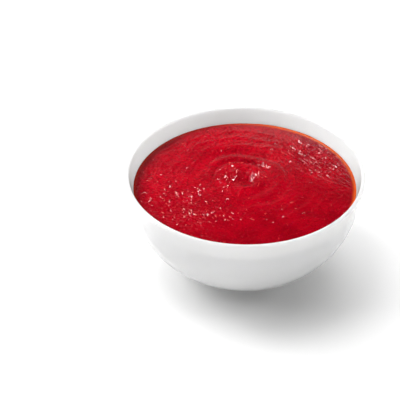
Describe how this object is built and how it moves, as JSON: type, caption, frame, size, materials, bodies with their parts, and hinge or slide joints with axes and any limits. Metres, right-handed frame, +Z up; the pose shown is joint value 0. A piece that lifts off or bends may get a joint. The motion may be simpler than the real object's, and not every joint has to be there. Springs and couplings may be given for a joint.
{
  "type": "bowl of tomato sauce",
  "caption": "Round white porcelain bowl on a low foot ring, filled near the brim with smooth tomato sauce that a ladle left in a spiral swirl.",
  "frame": {"origin": "centre of the foot ring's underside, on the surface that the bowl stands on", "axes": "+Z up along the bowl's axis; +Y towards the back of the swirl, +X to its right"},
  "size_m": [0.14, 0.14, 0.065],
  "materials": {
    "porcelain": "clear gloss glaze over white porcelain, the foot ring's standing edge unglazed and matt",
    "tomato_sauce": "wet, slightly translucent tomato puree with fine pulp, broken highlights, and an orange oily film where it thins against the wall"
  },
  "bodies": {
    "root": {"bowl": "porcelain", "sauce": "tomato_sauce"}
  },
  "joints": []
}
